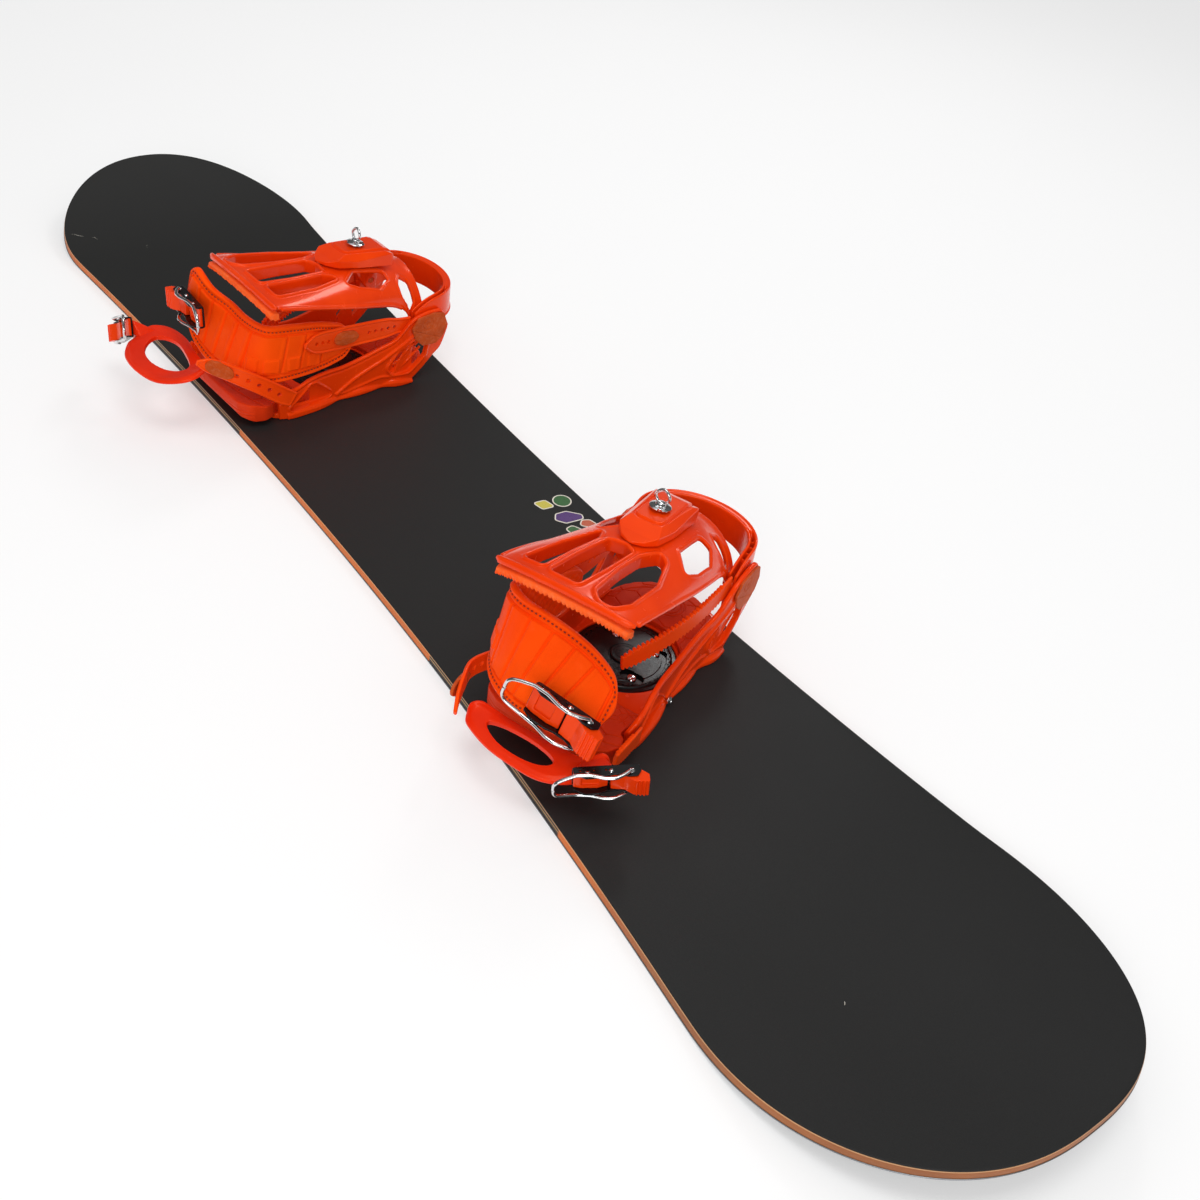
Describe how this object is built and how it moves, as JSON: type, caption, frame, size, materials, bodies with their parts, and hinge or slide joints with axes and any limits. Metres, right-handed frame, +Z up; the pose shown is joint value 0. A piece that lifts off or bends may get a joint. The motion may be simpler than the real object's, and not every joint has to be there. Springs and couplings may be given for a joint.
{
  "type": "snowboard with bindings",
  "caption": "Directional snowboard with rockered tips, layered edge and a mirrored pair of strap bindings with fold-down highbacks, ratchet straps and turnable baseplates.",
  "frame": {"origin": "middle of the board's length and width, on the plane the flat base rests on", "axes": "+X towards the nose, +Y towards the heel side, +Z up through the bindings"},
  "size_m": [1.55, 0.366, 0.1717],
  "materials": {
    "orange_plastic": "glossy moulded",
    "red_orange_plastic": "satin moulded",
    "soft_orange": "soft foam",
    "pad_fabric": "stitched synthetic",
    "pale_rubber": "matte",
    "dusty_rubber": "matte",
    "black_plastic": "glossy",
    "chrome": "polished",
    "edge_steel": "ground",
    "topsheet": "fine matte",
    "base_black": "waxed",
    "sidewall_orange": "sanded",
    "poplar": "bare"
  },
  "bodies": {
    "board": {"board_base": "base_black", "steel_edge": "edge_steel", "sidewall": "sidewall_orange", "wood_core": "poplar", "topsheet": "topsheet", "front_disc": "black_plastic", "front_disc_screw_1": "chrome", "front_disc_screw_2": "chrome", "front_disc_screw_3": "chrome", "front_disc_screw_4": "chrome", "rear_disc": "black_plastic", "rear_disc_screw_1": "chrome", "rear_disc_screw_2": "chrome", "rear_disc_screw_3": "chrome", "rear_disc_screw_4": "chrome"},
    "front_base": {"front_baseplate": "orange_plastic", "front_heel_pad": "soft_orange", "front_heel_hoop": "orange_plastic", "front_hinge_cover_outer": "dusty_rubber", "front_hinge_cover_inner": "dusty_rubber"},
    "front_gas_pedal": {"front_toe_ramp": "soft_orange"},
    "front_back": {"front_highback": "orange_plastic", "front_highback_tip_pad": "pale_rubber"},
    "front_lean_adjuster": {"front_lean_block": "orange_plastic"},
    "front_thumbscrew": {"front_lean_thumbscrew": "chrome"},
    "front_ankle_strap": {"front_ankle_pad": "pad_fabric", "front_ankle_connector": "orange_plastic", "front_ankle_buckle": "black_plastic"},
    "front_ankle_lever_body": {"front_ankle_lever": "chrome"},
    "front_ankle_release_body": {"front_ankle_release": "orange_plastic"},
    "front_ankle_ladder_strap": {"front_ankle_ladder": "orange_plastic"},
    "front_toe_strap": {"front_toe_cap": "red_orange_plastic", "front_toe_connector": "orange_plastic", "front_toe_buckle": "black_plastic"},
    "front_toe_lever_body": {"front_toe_lever": "chrome"},
    "front_toe_release_body": {"front_toe_release": "orange_plastic"},
    "front_toe_ladder_strap": {"front_toe_ladder": "orange_plastic"},
    "rear_base": {"rear_baseplate": "orange_plastic", "rear_heel_pad": "soft_orange", "rear_heel_hoop": "orange_plastic", "rear_hinge_cover_outer": "dusty_rubber", "rear_hinge_cover_inner": "dusty_rubber"},
    "rear_gas_pedal": {"rear_toe_ramp": "soft_orange"},
    "rear_back": {"rear_highback": "orange_plastic", "rear_highback_tip_pad": "pale_rubber"},
    "rear_lean_adjuster": {"rear_lean_block": "orange_plastic"},
    "rear_thumbscrew": {"rear_lean_thumbscrew": "chrome"},
    "rear_ankle_strap": {"rear_ankle_pad": "pad_fabric", "rear_ankle_connector": "orange_plastic", "rear_ankle_buckle": "black_plastic"},
    "rear_ankle_lever_body": {"rear_ankle_lever": "chrome"},
    "rear_ankle_release_body": {"rear_ankle_release": "orange_plastic"},
    "rear_ankle_ladder_strap": {"rear_ankle_ladder": "orange_plastic"},
    "rear_toe_strap": {"rear_toe_cap": "red_orange_plastic", "rear_toe_connector": "orange_plastic", "rear_toe_buckle": "black_plastic"},
    "rear_toe_lever_body": {"rear_toe_lever": "chrome"},
    "rear_toe_release_body": {"rear_toe_release": "orange_plastic"},
    "rear_toe_ladder_strap": {"rear_toe_ladder": "orange_plastic"}
  },
  "joints": [
    {"name": "front_stance_turn", "type": "hinge", "parent": "board", "child": "front_base", "pos_m": [0.257, 0.018, 0.009], "axis": [0, 0, 1], "range_deg": [-30, 30]},
    {"name": "front_toe_ramp_slide", "type": "slide", "parent": "front_base", "child": "front_gas_pedal", "axis": [0.3746, -0.9272, 0], "range_m": [0, 0.012]},
    {"name": "front_highback_fold", "type": "hinge", "parent": "front_base", "child": "front_back", "pos_m": [0.22553, 0.09588, 0.077], "axis": [-0.9272, -0.3746, 0], "range_deg": [0, 70]},
    {"name": "front_lean_slide", "type": "slide", "parent": "front_back", "child": "front_lean_adjuster", "axis": [0.3702, -0.9162, 0.1532], "range_m": [0, 0.015]},
    {"name": "front_thumbscrew_turn", "type": "hinge", "parent": "front_lean_adjuster", "child": "front_thumbscrew", "pos_m": [0.2402, 0.04357, 0.15464], "axis": [-0.0574, 0.142, 0.9882], "continuous": true},
    {"name": "front_ankle_strap_swing", "type": "hinge", "parent": "front_base", "child": "front_ankle_strap", "pos_m": [0.18241, 0.05473, 0.0774], "axis": [-0.9272, -0.3746, 0], "range_deg": [-2, 5]},
    {"name": "front_ankle_lever_open", "type": "hinge", "parent": "front_ankle_strap", "child": "front_ankle_lever_body", "pos_m": [0.36357, -0.10962, 0.07716], "axis": [0.0377, 0.3001, 0.9532], "range_deg": [0, 70]},
    {"name": "front_ankle_release_press", "type": "hinge", "parent": "front_ankle_strap", "child": "front_ankle_release_body", "pos_m": [0.34827, -0.11414, 0.07919], "axis": [-0.0377, -0.3001, -0.9532], "range_deg": [0, 20]},
    {"name": "front_ankle_ladder_swing", "type": "hinge", "parent": "front_base", "child": "front_ankle_ladder_strap", "pos_m": [0.28477, 0.09717, 0.0826], "axis": [-0.9272, -0.3746, 0], "range_deg": [-5, 8]},
    {"name": "front_toe_strap_swing", "type": "hinge", "parent": "front_base", "child": "front_toe_strap", "pos_m": [0.22857, -0.08408, 0.036], "axis": [-0.9272, -0.3746, 0], "range_deg": [-7, 4]},
    {"name": "front_toe_lever_open", "type": "hinge", "parent": "front_toe_strap", "child": "front_toe_lever_body", "pos_m": [0.40115, -0.08854, 0.05344], "axis": [0.0398, -0.14, 0.9894], "range_deg": [0, 70]},
    {"name": "front_toe_release_press", "type": "hinge", "parent": "front_toe_strap", "child": "front_toe_release_body", "pos_m": [0.39312, -0.09953, 0.05221], "axis": [-0.0398, 0.14, -0.9894], "range_deg": [0, 20]},
    {"name": "front_toe_ladder_swing", "type": "hinge", "parent": "front_base", "child": "front_toe_ladder_strap", "pos_m": [0.35191, -0.04072, 0.029], "axis": [-0.9272, -0.3746, 0], "range_deg": [-6, 6]},
    {"name": "rear_stance_turn", "type": "hinge", "parent": "board", "child": "rear_base", "pos_m": [-0.271, 0.004, 0.009], "axis": [0, 0, 1], "range_deg": [-30, 30]},
    {"name": "rear_toe_ramp_slide", "type": "slide", "parent": "rear_base", "child": "rear_gas_pedal", "axis": [0.0872, -0.9962, 0], "range_m": [0, 0.012]},
    {"name": "rear_highback_fold", "type": "hinge", "parent": "rear_base", "child": "rear_back", "pos_m": [-0.27832, 0.08768, 0.077], "axis": [-0.9962, -0.0872, 0], "range_deg": [0, 70]},
    {"name": "rear_lean_slide", "type": "slide", "parent": "rear_back", "child": "rear_lean_adjuster", "axis": [0.0861, -0.9844, 0.1532], "range_m": [0, 0.015]},
    {"name": "rear_thumbscrew_turn", "type": "hinge", "parent": "rear_lean_adjuster", "child": "rear_thumbscrew", "pos_m": [-0.26764, 0.03441, 0.15464], "axis": [-0.0133, 0.1526, 0.9882], "continuous": true},
    {"name": "rear_ankle_strap_swing", "type": "hinge", "parent": "rear_base", "child": "rear_ankle_strap", "pos_m": [-0.22121, 0.07059, 0.0774], "axis": [-0.9962, -0.0872, 0], "range_deg": [-1.5, 3]},
    {"name": "rear_ankle_lever_open", "type": "hinge", "parent": "rear_ankle_strap", "child": "rear_ankle_lever_body", "pos_m": [-0.30255, -0.1414, 0.10893], "axis": [0.0501, -0.0035, -0.9987], "range_deg": [0, 70]},
    {"name": "rear_ankle_release_press", "type": "hinge", "parent": "rear_ankle_strap", "child": "rear_ankle_release_body", "pos_m": [-0.28814, -0.14016, 0.10965], "axis": [-0.0501, 0.0035, 0.9987], "range_deg": [0, 20]},
    {"name": "rear_ankle_ladder_swing", "type": "hinge", "parent": "rear_base", "child": "rear_ankle_ladder_strap", "pos_m": [-0.33168, 0.06193, 0.0826], "axis": [-0.9962, -0.0872, 0], "range_deg": [-5, 8]},
    {"name": "rear_toe_strap_swing", "type": "hinge", "parent": "rear_base", "child": "rear_toe_strap", "pos_m": [-0.19933, -0.07405, 0.036], "axis": [-0.9962, -0.0872, 0], "range_deg": [-15, 3]},
    {"name": "rear_toe_lever_open", "type": "hinge", "parent": "rear_toe_strap", "child": "rear_toe_lever_body", "pos_m": [-0.35839, -0.18791, 0.05307], "axis": [0.5632, -0.2014, -0.8014], "range_deg": [0, 70]},
    {"name": "rear_toe_release_press", "type": "hinge", "parent": "rear_toe_strap", "child": "rear_toe_release_body", "pos_m": [-0.34781, -0.1873, 0.06035], "axis": [-0.5632, 0.2014, 0.8014], "range_deg": [0, 20]},
    {"name": "rear_toe_ladder_swing", "type": "hinge", "parent": "rear_base", "child": "rear_toe_ladder_strap", "pos_m": [-0.32891, -0.09141, 0.029], "axis": [-0.9962, -0.0872, 0], "range_deg": [-6, 6]}
  ]
}
